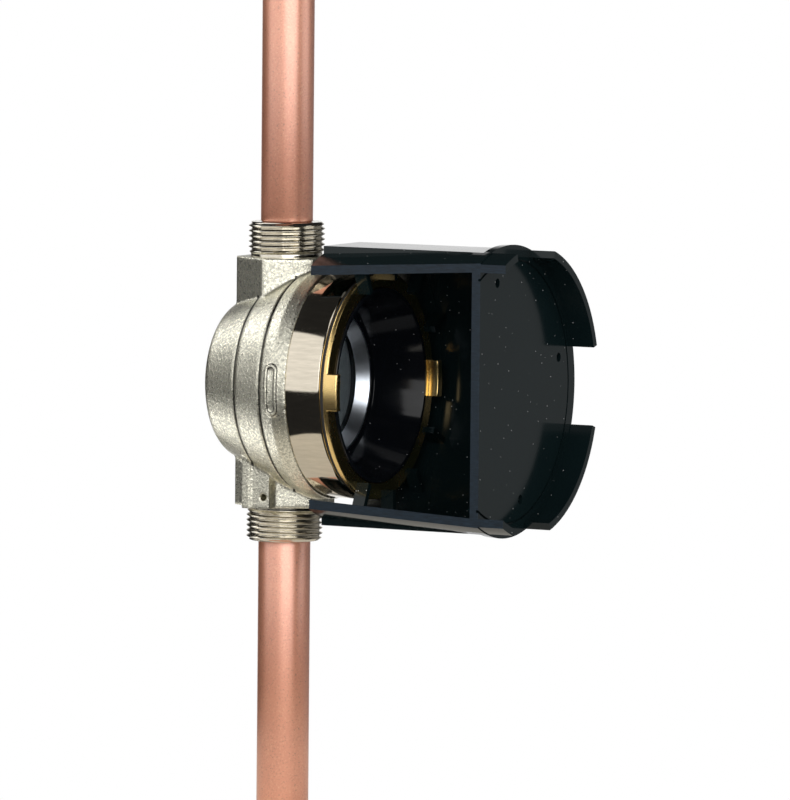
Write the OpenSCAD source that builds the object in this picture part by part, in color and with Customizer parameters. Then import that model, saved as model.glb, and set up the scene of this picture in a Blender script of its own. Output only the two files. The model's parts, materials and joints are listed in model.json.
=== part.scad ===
// Concealed water meter: a cast body between two soldered copper pipes, a measuring
// insert held by a lug ring, and a site cover that is cut open on one side.
// The origin is the lower pipe's end, +Z runs up the pipes and the bowl faces -Y.

/* [Pipes] */
// Outside diameter of the copper pipes
pipe_d = 18; // [15:0.5:19]
// Wall of the copper pipes
pipe_wall = 1; // [0.8:0.1:1.5]
// Length from the bowl's axis to the end of each pipe
pipe_reach = 150; // [110:5:250]
// Reduction of the pipe's radius in its socket
sized_step = 0.5; // [0.3:0.1:0.8]

/* [Ports] */
// Length over both nipples
fitting_len = 110; // [106:1:130]
// Diameter over the thread of a nipple
nipple_d = 26.4; // [25:0.2:29]
// Length of a nipple beyond its boss
nipple_len = 12; // [9:0.5:14]
// Chamfer at the end of a nipple
nipple_chamfer = 0.9; // [0.3:0.1:1.5]
// Width across the flats of the hexagon bosses
boss_flats = 30; // [29:0.5:34]
// Depth of the solder socket
socket_depth = 14.8; // [10:0.2:17]
// Radial gap between pipe and socket
solder_gap = 0.1; // [0.05:0.05:0.2]

/* [Bowl] */
// Radius of the bore that takes the pressure plate
seat_r = 33; // [30:0.5:37]
// Width of the pressure plate's seat
seat_w = 7.5; // [6.5:0.1:9]
// Width of the step below the thread of the lug ring
mouth_step = 3; // [2.6:0.1:4]
// Wall of the turned band
band_wall = 3.4; // [2.8:0.1:4]
// Rise of the casting over the turned band
cast_rise = 0.5; // [0.2:0.1:1]
// Drop of the casting at the front groove
waist_drop = 1.7; // [0.8:0.1:2.5]
// Wall of the casting at the rear groove
dome_wall = 7.9; // [6:0.1:9]
// Wall behind the chamber's cavity
back_wall = 4.6; // [4:0.1:8]
// Inset of the back's flat face from the cavity's wall
back_inset = 2.8; // [2:0.1:6]
// Rounding of the back edge
back_round = 5; // [3:0.5:6]
// Place of the rear groove behind the pipe axis
dome_back = 2.4; // [1:0.1:5]
// Place of the front groove in front of the pipe axis
waist_front = 10; // [8:0.5:13]
// Place of the turned band's rear edge
band_back = 21; // [19:0.5:24]
// Place of the mouth's rim in front of the pipe axis
mouth_front = 34.2; // [31:0.2:36]
// Chamfer of the mouth's rim
mouth_chamfer = 0.7; // [0.2:0.1:1]
// Depth of the cast grooves
groove_depth = 0.8; // [0.4:0.1:1.2]
// Width of the cast grooves
groove_w = 1.4; // [0.8:0.1:2]
// Height of the raised oval on the near side
oval_h = 17.5; // [12:0.5:20]
// Width of the raised oval
oval_w = 4.6; // [3.6:0.1:6]
// Line width of the raised oval
oval_line = 0.9; // [0.5:0.1:1.2]
// Height of the raised oval above the casting
oval_rise = 0.5; // [0.3:0.1:0.9]

/* [Seal lug] */
// Stand of the seal lug beyond its boss
lug_stand = 1.7; // [0.7:0.1:4]
// Width of the seal lug
lug_w = 10.5; // [8:0.5:12]
// Height of the seal lug
lug_h = 24; // [15:0.5:26]
// Width of the rib along the lug's rear edge
lug_rib_w = 3.4; // [2:0.2:4]
// Rise of that rib
lug_rib_rise = 1; // [0.5:0.1:1.6]
// Diameter of the sealing wire's hole
seal_hole_d = 2.4; // [1.6:0.1:2.8]
// Height of the hole above the lug's foot
seal_hole_up = 4; // [2.5:0.1:8]

/* [Cavity] */
// Depth of the chamber's cavity behind the pipe axis
cavity_back = 14; // [13:0.2:15]
// Place of the pressure plate's seat in front of the pipe axis
seat_front = 4; // [3.8:0.1:5]
// Place of the step below the thread of the lug ring
step_front = 20; // [19:0.2:22]

/* [Measuring chamber] */
// Gap between the chamber and its cavity
chamber_gap = 0.5; // [0.2:0.1:0.8]
// Wall of the measuring chamber
chamber_wall = 2; // [1.4:0.1:2.6]
// Floor of the measuring chamber
chamber_floor = 1.5; // [1.2:0.1:2]
// Width of the inlet and outlet windows
jet_w = 8; // [5:0.5:10]
// Sideways offset of those windows
jet_offset = 2.2; // [0:0.2:4]
// Gap between the vane tips and the chamber's wall
vane_gap = 3; // [1.5:0.1:5]
// Number of vanes
vanes = 7; // [5:1:9]
// Thickness of a vane
vane_t = 1.2; // [0.8:0.1:1.8]
// Length of the impeller along its axis
impeller_len = 10.4; // [8:0.2:10.8]
// Radius of the impeller's hub
hub_r = 4.5; // [3.6:0.1:6]
// Radius of the spindle
spindle_r = 1; // [0.8:0.05:1.3]
// Running clearance of the spindle
spindle_clear = 0.05; // [0.02:0.01:0.09]
// Radius of the pivot bearing
bearing_r = 2.5; // [2.1:0.1:3]
// Height of the pivot bearing
bearing_h = 1.6; // [1.3:0.1:2]
// Thickness of the impeller's magnet
magnet_t = 1.5; // [1:0.1:1.7]

/* [Strainer] */
// Length of the strainer's thimble
strainer_len = 10; // [6:0.5:12]
// Wall of the strainer
strainer_wall = 0.8; // [0.6:0.1:1]
// Diameter of the strainer's holes
strainer_hole_d = 1.5; // [0.8:0.1:1.8]

/* [Pressure plate] */
// Thickness of the chamber gasket
gasket_t = 1; // [0.6:0.1:1.5]
// Inset of the chamber gasket from the cavity's edge
gasket_inset = 1.1; // [0.5:0.1:2.5]
// Gap around the pressure plate
plate_gap = 0.4; // [0.2:0.1:0.6]
// Thickness of the pressure plate
plate_t = 3; // [2.6:0.1:4]
// Thickness of the membrane between the magnets
membrane_t = 1.2; // [0.8:0.1:1.4]
// Radius of the well for the drive magnet
well_r = 7; // [6.2:0.1:9]
// Radius of the drive magnet
drive_magnet_r = 5; // [3:0.1:5.6]

/* [Register] */
// Height of the register plate's rim
pan_h = 1; // [0.8:0.1:1.6]
// Thickness of the register plate
pan_t = 0.8; // [0.6:0.1:1.2]
// Thickness of a gear
gear_t = 0.8; // [0.6:0.1:1.2]
// Gap between the layers of gears
gear_gap = 0.25; // [0.2:0.05:0.5]
// Teeth of a pinion
pinion_teeth = 8; // [8:1:9]
// Teeth of the flow wheel
flow_teeth = 24; // [22:1:26]
// Teeth of the litre wheel and the cubic wheel
counter_teeth = 40; // [36:1:41]
// Radius of the arbors
arbor_r = 0.6; // [0.4:0.05:0.7]
// Running clearance of the arbors
arbor_clear = 0.05; // [0.02:0.01:0.09]
// Thickness of the dial
dial_t = 0.6; // [0.4:0.1:1]
// Thickness of a pointer
pointer_t = 0.6; // [0.4:0.1:0.8]
// Gap between a pointer and its neighbours
pointer_gap = 0.35; // [0.3:0.05:0.6]
// Thickness of the window
window_t = 1.6; // [1.2:0.1:2.5]
// Inset of the window from the register's wall
window_inset = 2.8; // [2.2:0.1:4]
// Gap around the window and the bezel
window_gap = 0.15; // [0.1:0.05:0.3]
// Width of the ledge below the window
ledge_w = 0.9; // [0.6:0.1:1.4]
// Height of the bezel
bezel_h = 4.4; // [3.5:0.1:6]
// Slope of the bezel's face against its axis
bezel_slope = 30; // [20:1:32]
// Width of the bezel's rim
bezel_rim = 0.7; // [0.4:0.1:1]

/* [Register cup] */
// Width of the cup's rim
cup_rim = 1.4; // [0.8:0.1:2.2]
// Width of the step around the bezel
recess_step = 2; // [1:0.1:2.6]
// Set-back of the cup's wall from the pressure plate's edge
cup_inset = 5; // [4:0.1:5.6]
// Height of the cup's rim above the lug ring
cup_rise = 0.5; // [0:0.1:1.5]
// Thickness of the cup's clamped flange
flange_t = 2.5; // [1.5:0.1:3.5]
// Wall of the cup around the register
cup_wall = 2.4; // [1.8:0.1:3]

/* [Lug ring] */
// Wall of the lug ring's sleeve
ring_wall = 2; // [1.4:0.1:2.4]
// Clearance of the lug ring on the cup and in its thread
ring_clear = 0.2; // [0.1:0.05:0.3]
// Thickness of the head gasket
head_gasket_t = 1; // [0.6:0.1:1.6]
// Set-back of the head gasket from the band
head_gasket_inset = 0.9; // [0.4:0.1:1.4]
// Thickness of the ring's head
ring_head_t = 1.8; // [1.4:0.1:3]
// Chamfer of the ring's head
ring_chamfer = 0.4; // [0.2:0.1:0.6]
// Length of a wrench lug around the ring
wrench_lug_w = 12.4; // [8:0.2:14]
// Height of a wrench lug
wrench_lug_h = 3.7; // [2.5:0.1:5]
// Thickness of a wrench lug
wrench_lug_t = 3.1; // [2:0.1:3.6]

/* [Site cover] */
// Gap between the turned band and the cover's rear edge
cover_gap = 5; // [3:0.1:8]
// Widening of the cover towards the front
cover_draft = 2.9; // [1:0.1:4]
// Wall of the cover
cover_wall = 2.8; // [2:0.1:3.2]
// Place of the rear edge in front of the pipe axis
cover_rear = 21.4; // [18:0.2:26]
// Place of the plate's front face
cover_front = 86.4; // [72:0.2:100]
// Thickness of the plate
cover_plate_t = 3.2; // [2:0.1:4]
// Inset of the fine groove that frames the plate
frame_inset = 4.6; // [3.6:0.1:6]
// Width and depth of that groove
frame_groove = 0.8; // [0.4:0.1:1.2]
// Height of the wings in front of the plate
wing_h = 9.5; // [6:0.5:14]
// Step between the wall's edge and the wings
wing_inset = 0.3; // [0.2:0.1:0.8]
// Angle covered by one wing
wing_angle = 57; // [40:1:70]
// Turn of the wings around the axis
wing_turn = -1; // [-5:1:5]
// Skin of the wall under the upper and lower flats
flat_skin = 0.7; // [0.5:0.1:1.2]
// Width of the pads that carry the flats
flat_w = 26; // [16:1:30]
// Distance of the section plane from the axis
section_x = 22.2; // [18:0.2:32]
// Diameter of the small holes in the plate
plate_hole_d = 3.2; // [2:0.1:5]
// Inset of those holes from the plate's edge
plate_hole_inset = 11.4; // [9:0.2:20]
// Turn of those holes around the axis
plate_hole_turn = 14; // [5:1:25]
// Thickness of a stop rib
rib_t = 2.2; // [1.4:0.1:3]
// Length of a stop rib along the axis
rib_len = 4.5; // [3:0.5:10]
// Stop ribs on each side of the cover
ribs = 4; // [2:1:4]

/* [Hidden] */
$fn = 72;
eps = 0.05;

nipple_r = nipple_d / 2;
pipe_r = pipe_d / 2;
pipe_bore_r = pipe_r - pipe_wall;
sized_r = pipe_r - sized_step;
sized_bore_r = pipe_bore_r - sized_step;
port_end = fitting_len / 2;
end_gap = 0.2;
pipe_free = pipe_reach - port_end - end_gap;
boss_end = port_end - nipple_len;
boss_r = boss_flats / 2 / cos(30);
socket_r = sized_r + solder_gap;
shoulder = port_end - socket_depth;
waterway_r = 0.64 * pipe_r;
waterway_back = 0.27 * pipe_r;
lug_reach = boss_r + lug_stand;
arbor_over = 0.2;
press_gap = 0.02;

// the bowl's radii, all from the pressure plate's bore
cavity_r = seat_r - seat_w;
mouth_r = seat_r + mouth_step;
band_r = mouth_r + band_wall;
cast_r = band_r + cast_rise;
waist_r = cast_r - waist_drop;
dome_r = cavity_r + dome_wall;
back_flat_r = cavity_r - back_inset;
bowl_back = cavity_back + back_wall;

// places along the bowl's axis, measured forward from the pipe axis
floor_f = -cavity_back;
chamber_floor_f = floor_f + chamber_floor;
plate_f = seat_front + gasket_t;
plate_top_f = plate_f + plate_t;
membrane_f = plate_f + membrane_t;
pan_f = plate_top_f + pan_h;
pan_top_f = pan_f + pan_t;
low_gear_f = pan_top_f + gear_gap;
high_gear_f = low_gear_f + gear_t + gear_gap;
dial_f = high_gear_f + gear_t + gear_gap;
dial_top_f = dial_f + dial_t;
pointer_f = dial_top_f + pointer_gap;
pointer_top_f = pointer_f + pointer_t;
window_f = pointer_top_f + arbor_over + pointer_gap;
window_top_f = window_f + window_t;
bezel_top_f = window_top_f + bezel_h;
flange_f = step_front + flange_t;
head_f = mouth_front + head_gasket_t;
ring_front = head_f + ring_head_t;
cup_rim_f = ring_front + cup_rise;
wrench_lug_f = ring_front + wrench_lug_h;

// the measuring chamber and its impeller
chamber_r = cavity_r - chamber_gap;
chamber_bore = chamber_r - chamber_wall;
vane_r = chamber_bore - vane_gap;
bearing_seat = chamber_floor_f;
bearing_top_f = bearing_seat + bearing_h;
spindle_bore = spindle_r + spindle_clear;
bearing_bore = 1;
spindle_tip = bearing_top_f - bearing_bore;
impeller_f = bearing_top_f + 0.8;
impeller_top_f = impeller_f + impeller_len;
magnet_top_f = impeller_top_f + magnet_t;
plate_boss_f = magnet_top_f + 0.4;
spindle_seat = (plate_f - plate_boss_f) * 0.8;
spindle_top = plate_boss_f + spindle_seat;
magnet_bore = spindle_r + 0.5;

// the pressure plate and the register
plate_r = seat_r - plate_gap;
gasket_r = seat_r - plate_gap;
gasket_bore = cavity_r + gasket_inset;
cup_wall_r = plate_r - cup_inset;
register_r = cup_wall_r - cup_wall;
pan_r = register_r - 0.3;
gear_m = register_r / 63;
pointer_len = 11 * gear_m;
star_r = 8.5 * gear_m;
arbor_bore = arbor_r + arbor_clear;
arbor_foot_f = plate_top_f + 0.3;
post_r = 1.2;
post_ring = pan_r - 4;
post_angles = [60, -60, 110, -96];
flow_dist = gear_m * (pinion_teeth + flow_teeth) / 2;
counter_dist = gear_m * (pinion_teeth + counter_teeth) / 2;
flow_angle = 150;
litre_angle = 200;
cubic_angle = 285;
flow_at = flow_dist * [cos(flow_angle), sin(flow_angle)];
litre_at = flow_at + counter_dist * [cos(litre_angle), sin(litre_angle)];
cubic_at = litre_at + counter_dist * [cos(cubic_angle), sin(cubic_angle)];
arbor_places = [[0, 0], flow_at, litre_at, cubic_at];

// the cup, the bezel and the lug ring
window_r = register_r - window_inset;
window_pocket_r = window_r + window_gap;
ledge_r = window_r - ledge_w;
bezel_low_r = ledge_r;
bezel_high_r = bezel_low_r + bezel_h * tan(bezel_slope);
bezel_r = bezel_high_r + bezel_rim;
bezel_pocket_r = bezel_r + window_gap;
recess_r = bezel_pocket_r + recess_step;
recess_f = bezel_top_f;
sleeve_r = mouth_r - ring_clear;
ring_bore = sleeve_r - ring_wall;
cup_r = ring_bore - ring_clear;
cup_mouth_r = cup_r - cup_rim;
head_r = band_r - 0.1;
wrench_lug_r = head_r - wrench_lug_t;

// the site cover
rib_f = ring_front;
rib_r = wrench_lug_r;
cover_inner_rear = band_r + cover_gap;
cover_inner_front = cover_inner_rear + cover_draft;
cover_rear_r = cover_inner_rear + cover_wall;
cover_front_r = cover_inner_front + cover_wall;
flat_r = cover_inner_front + flat_skin;
plate_hole_r = cover_front_r - plate_hole_inset;
frame_r = cover_front_r - frame_inset;
plate_back = cover_front - cover_plate_t;
wing_front = cover_front + wing_h;
wing_r = cover_front_r - wing_inset;
rib_place = (rib_f - cover_rear) / (plate_back - cover_rear);
rib_root_r = cover_inner_rear + cover_draft * rib_place + cover_wall / 2;
rib_last = acos((rib_t - section_x) / rib_root_r);
rib_step = rib_last / ribs;

nickel = "#b9b2a2";
copper = "#c98a72";
brass = "#d0a04a";
black = "#15181b";
steel = "#c9ccd0";

// places children on the bowl's axis, +Z of the children facing forward
module on_axis() {
    translate([0, 0, pipe_reach])
        rotate([90, 0, 0])
            children();
}

// a ring or disc about the axis, from an inner and an outer radius
module washer(inner, outer, low, high) {
    difference() {
        translate([0, 0, low])
            cylinder(r = outer, h = high - low);
        if (inner > 0)
            translate([0, 0, low - eps])
                cylinder(r = inner, h = high - low + 2 * eps);
    }
}

// points of an arc from one angle to another
function arc(centre, r, from, to, steps = 8) = [
    for (i = [0 : steps])
        centre + r * [cos(from + (to - from) * i / steps), sin(from + (to - from) * i / steps)]
];

// an upright slot outline
module oval(w, h) {
    square([w, h - w], center = true);
    for (side = [-1, 1])
        translate([0, side * (h - w) / 2])
            circle(d = w);
}

// a toothed wheel outline with a tooth on the given direction
module gear_outline(teeth, turn) {
    pitch_r = gear_m * teeth / 2;
    step = 360 / teeth;
    tip_r = pitch_r + 0.8 * gear_m;
    root_r = pitch_r - 1.15 * gear_m;
    root_half = 0.28 * step;
    tip_half = 0.11 * step;
    polygon([
        for (i = [0 : teeth - 1])
            for (corner = [[root_r, -root_half], [tip_r, -tip_half], [tip_r, tip_half], [root_r, root_half]])
                corner[0] * [cos(turn + i * step + corner[1]), sin(turn + i * step + corner[1])]
    ]);
}

// one gear at a place, a tooth or a gap on the given direction
module gear(at, teeth, low, turn) {
    translate([at[0], at[1], low])
        linear_extrude(gear_t)
            gear_outline(teeth, turn);
}

// a plain arbor
module arbor(at, low, high) {
    translate([at[0], at[1], low])
        cylinder(r = arbor_r, h = high - low, $fn = 24);
}

// outline of the casting, radius against place along the axis
module bowl_outline() {
    polygon(concat(
        [[0, -bowl_back]],
        arc([back_flat_r, back_round - bowl_back], back_round, -90, -20),
        [
            [dome_r, -dome_back],
            [waist_r, waist_front],
            [cast_r, (waist_front + band_back) / 2],
            [cast_r, band_back],
            [band_r, band_back],
            [band_r, mouth_front - mouth_chamfer],
            [band_r - mouth_chamfer, mouth_front],
            [0, mouth_front]
        ]
    ));
}

// the stepped bore of the bowl
module bowl_bore() {
    washer(0, cavity_r, floor_f, seat_front + eps);
    washer(0, seat_r, seat_front, step_front + eps);
    washer(0, mouth_r, step_front, mouth_front + eps);
}

// a cast groove around the bowl
module groove(r, at) {
    rotate_extrude()
        polygon([
            [r - groove_depth, at],
            [r + groove_depth, at - groove_w],
            [r + groove_depth, at + groove_w]
        ]);
}

// one port, boss and nipple, above the pipe axis
module port() {
    cylinder(r = boss_r, h = boss_end, $fn = 6);
    translate([0, 0, boss_end - eps])
        cylinder(r = nipple_r, h = nipple_len - nipple_chamfer + eps);
    translate([0, 0, port_end - nipple_chamfer - eps])
        cylinder(r1 = nipple_r, r2 = nipple_r - nipple_chamfer, h = nipple_chamfer + eps);
}

// bore of one port: solder socket and waterway
module port_bore() {
    translate([0, 0, shoulder])
        cylinder(r = socket_r, h = socket_depth + eps);
    translate([0, waterway_back, 0])
        cylinder(r = waterway_r, h = shoulder + eps);
}

// cast lug with the hole for a sealing wire, on the near side of the lower port
module seal_lug() {
    translate([-lug_reach, -lug_w / 2 + lug_rib_w / 3, -boss_end])
        cube([lug_reach, lug_w, lug_h]);
    translate([-lug_reach - lug_rib_rise, lug_w / 2 - lug_rib_w * 2 / 3, -boss_end])
        cube([lug_reach, lug_rib_w, lug_h]);
}

// raised oval on the near side of the casting
module raised_oval() {
    intersection() {
        translate([0, (waist_front + band_back) / -2, 0])
            rotate([90, 0, -90])
                linear_extrude(cast_r + oval_rise)
                    difference() {
                        oval(oval_w, oval_h);
                        oval(oval_w - 2 * oval_line, oval_h - 2 * oval_line);
                    }
        rotate([90, 0, 0])
            washer(cast_r - 1.5, cast_r + oval_rise, waist_front, band_back);
    }
}

module meter_body() {
    color(nickel)
    translate([0, 0, pipe_reach])
    difference() {
        union() {
            rotate([90, 0, 0])
                difference() {
                    rotate_extrude()
                        bowl_outline();
                    groove(dome_r, -dome_back);
                    groove(waist_r, waist_front);
                }
            port();
            mirror([0, 0, 1])
                port();
            seal_lug();
            raised_oval();
        }
        rotate([90, 0, 0])
            bowl_bore();
        port_bore();
        mirror([0, 0, 1])
            port_bore();
        translate([-lug_reach - 1, -lug_w / 6, seal_hole_up - boss_end])
            rotate([0, 90, 0])
                cylinder(d = seal_hole_d, h = lug_reach - socket_r - 1, $fn = 24);
    }
}

// a pipe that stands on its free end, drawn in where it enters the socket
module pipe(total) {
    color(copper)
    difference() {
        union() {
            cylinder(r = pipe_r, h = pipe_free);
            cylinder(r = sized_r, h = total);
        }
        translate([0, 0, -eps])
            cylinder(r = pipe_bore_r, h = pipe_free + eps);
        translate([0, 0, -eps])
            cylinder(r = sized_bore_r, h = total + 2 * eps);
    }
}

module lower_pipe() {
    pipe(pipe_reach - shoulder - strainer_wall);
}

module upper_pipe() {
    translate([0, 0, 2 * pipe_reach])
        mirror([0, 0, 1])
            pipe(pipe_reach - shoulder);
}

// thimble with a flange that the lower pipe clamps on the socket's shoulder
module inlet_strainer() {
    thimble_r = waterway_r - 0.3;
    rows = floor((strainer_len - strainer_hole_d) / (2 * strainer_hole_d));
    color(steel)
    translate([0, 0, pipe_reach - shoulder])
    difference() {
        union() {
            translate([0, 0, -strainer_wall])
                cylinder(r = sized_r - 0.1, h = strainer_wall);
            translate([0, waterway_back, -eps])
                cylinder(r = thimble_r, h = strainer_len + eps);
        }
        translate([0, waterway_back, -strainer_wall - eps])
            cylinder(r = thimble_r - strainer_wall, h = strainer_len);
        for (row = [1 : rows])
            for (turn = [0 : 36 : 324])
                translate([0, waterway_back, row * 2 * strainer_hole_d - strainer_hole_d / 2])
                    rotate([90, 0, turn + 18 * (row % 2)])
                        translate([0, 0, thimble_r / 2])
                            cylinder(d = strainer_hole_d, h = thimble_r, $fn = 16);
    }
}

module measuring_chamber() {
    window_h = 2 * waterway_r - 1.6;
    color("#e4e0d2")
    on_axis()
    difference() {
        union() {
            washer(0, chamber_r, floor_f, chamber_floor_f + eps);
            washer(chamber_bore, chamber_r, chamber_floor_f, plate_f);
            washer(0, bearing_r + 1.5, chamber_floor_f, chamber_floor_f + bearing_h / 2);
        }
        washer(0, bearing_r + press_gap, bearing_seat, bearing_top_f);
        for (side = [-1, 1])
            translate([side * jet_offset - jet_w / 2, side * chamber_r / 2 - chamber_r / 2,
                       -waterway_back - window_h / 2])
                cube([jet_w, chamber_r, window_h]);
    }
}

module pivot_bearing() {
    color("#8e2f3f")
    on_axis()
    difference() {
        washer(0, bearing_r, bearing_seat, bearing_top_f);
        washer(0, spindle_bore, spindle_tip, bearing_top_f + eps);
    }
}

module impeller() {
    color("#3c6fa8")
    on_axis()
    difference() {
        union() {
            washer(0, hub_r, impeller_f, impeller_top_f);
            washer(0, vane_r * 0.62, impeller_f + impeller_len * 0.45, impeller_f + impeller_len * 0.55);
            for (i = [0 : vanes - 1])
                rotate([0, 0, i * 360 / vanes])
                    translate([hub_r - 1, -vane_t / 2, impeller_f + 0.6])
                        cube([vane_r - hub_r + 1, vane_t, impeller_len - 1.2]);
        }
        washer(0, spindle_r + press_gap, impeller_f - eps, impeller_top_f + eps);
    }
}

module impeller_spindle() {
    color(steel)
    on_axis()
        washer(0, spindle_r, spindle_tip, spindle_top);
}

module impeller_magnet() {
    color("#3a3a3d")
    on_axis()
        washer(magnet_bore, hub_r, impeller_top_f, magnet_top_f);
}

module chamber_gasket() {
    color("#222326")
    on_axis()
        washer(gasket_bore, gasket_r, seat_front, plate_f);
}

module pressure_plate() {
    color(brass)
    on_axis()
    difference() {
        union() {
            washer(0, plate_r, plate_f, plate_top_f);
            washer(0, hub_r - 1.5, plate_boss_f, plate_f + eps);
        }
        washer(0, well_r, membrane_f, plate_top_f + eps);
        washer(0, spindle_bore, plate_boss_f - eps, spindle_top + 0.1);
    }
}

module drive_magnet() {
    color("#3a3a3d")
    on_axis()
        washer(arbor_r + press_gap, drive_magnet_r, membrane_f + 0.3, pan_f - 0.3);
}

module drive_arbor() {
    color(steel)
    on_axis() {
        arbor([0, 0], membrane_f + 0.3, dial_top_f);
        gear([0, 0], pinion_teeth, low_gear_f, flow_angle);
    }
}

// pan on the pressure plate with posts that carry the dial
module register_plate() {
    color("#d9d9d4")
    on_axis()
    difference() {
        union() {
            washer(pan_r - 1.4, pan_r, plate_top_f, pan_f + eps);
            washer(0, pan_r, pan_f, pan_top_f);
            for (turn = post_angles)
                rotate([0, 0, turn])
                    translate([post_ring, 0, pan_top_f - eps])
                        cylinder(r = post_r, h = dial_f - pan_top_f + eps, $fn = 24);
        }
        for (at = arbor_places)
            translate([at[0], at[1], pan_f - eps])
                cylinder(r = arbor_bore, h = pan_t + 2 * eps, $fn = 24);
    }
}

module flow_wheel() {
    color(brass)
    on_axis() {
        arbor(flow_at, arbor_foot_f, pointer_top_f + arbor_over);
        gear(flow_at, flow_teeth, low_gear_f, flow_angle + 180 - 180 / flow_teeth);
        gear(flow_at, pinion_teeth, high_gear_f, litre_angle);
    }
}

module litre_wheel() {
    color(brass)
    on_axis() {
        arbor(litre_at, arbor_foot_f, pointer_top_f + arbor_over);
        gear(litre_at, counter_teeth, high_gear_f, litre_angle + 180 - 180 / counter_teeth);
        gear(litre_at, pinion_teeth, low_gear_f, cubic_angle);
    }
}

module cubic_wheel() {
    color(brass)
    on_axis() {
        arbor(cubic_at, arbor_foot_f, pointer_top_f + arbor_over);
        gear(cubic_at, counter_teeth, low_gear_f, cubic_angle + 180 - 180 / counter_teeth);
    }
}

// six-pointed star on the flow wheel's arbor
module flow_star() {
    points = 6;
    color("#c42b26")
    on_axis()
    translate([flow_at[0], flow_at[1], pointer_f])
    linear_extrude(pointer_t)
    difference() {
        polygon([
            for (i = [0 : 2 * points - 1])
                (i % 2 == 0 ? star_r : star_r * 0.5) * [cos(i * 180 / points), sin(i * 180 / points)]
        ]);
        circle(r = arbor_r + press_gap, $fn = 24);
    }
}

// tapered hand with a round boss
module pointer(at) {
    color("#c42b26")
    on_axis()
    translate([at[0], at[1], pointer_f])
    linear_extrude(pointer_t)
    difference() {
        union() {
            circle(r = arbor_r + 0.7, $fn = 24);
            polygon([[-0.8, 0], [0, -pointer_len * 0.3], [0.8, 0], [0.15, pointer_len], [-0.15, pointer_len]]);
        }
        circle(r = arbor_r + press_gap, $fn = 24);
    }
}

module litre_pointer() {
    pointer(litre_at);
}

module cubic_pointer() {
    pointer(cubic_at);
}

module dial() {
    color("#f2f2ee")
    on_axis()
    difference() {
        washer(0, pan_r, dial_f, dial_top_f);
        for (at = arbor_places)
            translate([at[0], at[1], dial_f - eps])
                cylinder(r = arbor_bore, h = dial_t + 2 * eps, $fn = 24);
    }
}

// black cup: register room below, ledge for the window, recess above
module register_cup() {
    color(black)
    on_axis()
    rotate_extrude()
        polygon([
            [register_r, plate_top_f],
            [plate_r, plate_top_f],
            [plate_r, plate_top_f + 2],
            [cup_wall_r, plate_top_f + 3],
            [cup_wall_r, step_front - 3],
            [plate_r, step_front],
            [mouth_r - 2 * ring_clear, step_front],
            [mouth_r - 2 * ring_clear, flange_f],
            [cup_r, flange_f],
            [cup_r, cup_rim_f],
            [cup_mouth_r, cup_rim_f],
            [recess_r, recess_f],
            [bezel_pocket_r, recess_f],
            [bezel_pocket_r, window_top_f],
            [window_pocket_r, window_top_f],
            [window_pocket_r, window_f],
            [ledge_r, window_f],
            [ledge_r, dial_top_f + arbor_over],
            [register_r, dial_top_f + arbor_over]
        ]);
}

module window() {
    color("#cfe6ee", 0.4)
    on_axis()
        washer(0, window_r, window_f, window_top_f);
}

module bezel_ring() {
    color(steel)
    on_axis()
    rotate_extrude()
        polygon([
            [bezel_low_r, window_top_f],
            [bezel_r, window_top_f],
            [bezel_r, bezel_top_f],
            [bezel_high_r, bezel_top_f]
        ]);
}

module head_gasket() {
    color("#222326")
    on_axis()
        washer(mouth_r, band_r - head_gasket_inset, mouth_front, head_f);
}

// threaded ring with two lugs for a wrench
module lug_ring() {
    color(brass)
    on_axis() {
        rotate_extrude()
            polygon([
                [ring_bore, flange_f],
                [sleeve_r, flange_f],
                [sleeve_r, head_f],
                [head_r - ring_chamfer, head_f],
                [head_r, head_f + ring_chamfer],
                [head_r, ring_front - ring_chamfer],
                [head_r - ring_chamfer, ring_front],
                [ring_bore, ring_front]
            ]);
        intersection() {
            rotate_extrude()
                polygon([
                    [wrench_lug_r, head_f + ring_chamfer],
                    [head_r, head_f + ring_chamfer],
                    [head_r, wrench_lug_f - ring_chamfer],
                    [head_r - ring_chamfer, wrench_lug_f],
                    [wrench_lug_r + ring_chamfer, wrench_lug_f],
                    [wrench_lug_r, wrench_lug_f - ring_chamfer]
                ]);
            translate([-2 * head_r, -wrench_lug_w / 2, head_f])
                cube([4 * head_r, wrench_lug_w, 2 * wrench_lug_f]);
        }
    }
}

// drafted wall of the cover between its outer and inner cones
module cover_wall_outline() {
    polygon([
        [cover_inner_rear, cover_rear],
        [cover_rear_r, cover_rear],
        [cover_front_r, cover_front],
        [0, cover_front],
        [0, plate_back],
        [cover_inner_front, plate_back]
    ]);
}

// pads with the upper and lower flats
module cover_pads() {
    difference() {
        translate([-flat_w / 2, -flat_r, cover_rear])
            cube([flat_w, 2 * flat_r, plate_back - cover_rear]);
        translate([0, 0, cover_rear - eps])
            cylinder(r1 = cover_inner_rear + 1, r2 = cover_inner_front + 1,
                     h = plate_back - cover_rear + 2 * eps);
    }
}

// ribs that stop the cover on the front of the lug ring
module cover_ribs() {
    for (side = [0, 180])
        for (i = [1 : ribs])
            rotate([0, 0, side == 0 ? i * rib_step : -i * rib_step])
                translate([rib_r, -rib_t / 2, rib_f])
                    cube([rib_root_r - rib_r, rib_t, rib_len]);
}

module cover_wings() {
    for (i = [0 : 3])
        rotate([0, 0, 45 + 90 * i + wing_turn - wing_angle / 2])
            rotate_extrude(angle = wing_angle)
                polygon([
                    [cover_inner_front, cover_front - eps],
                    [wing_r, cover_front - eps],
                    [wing_r, wing_front],
                    [cover_inner_front, wing_front]
                ]);
}

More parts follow.
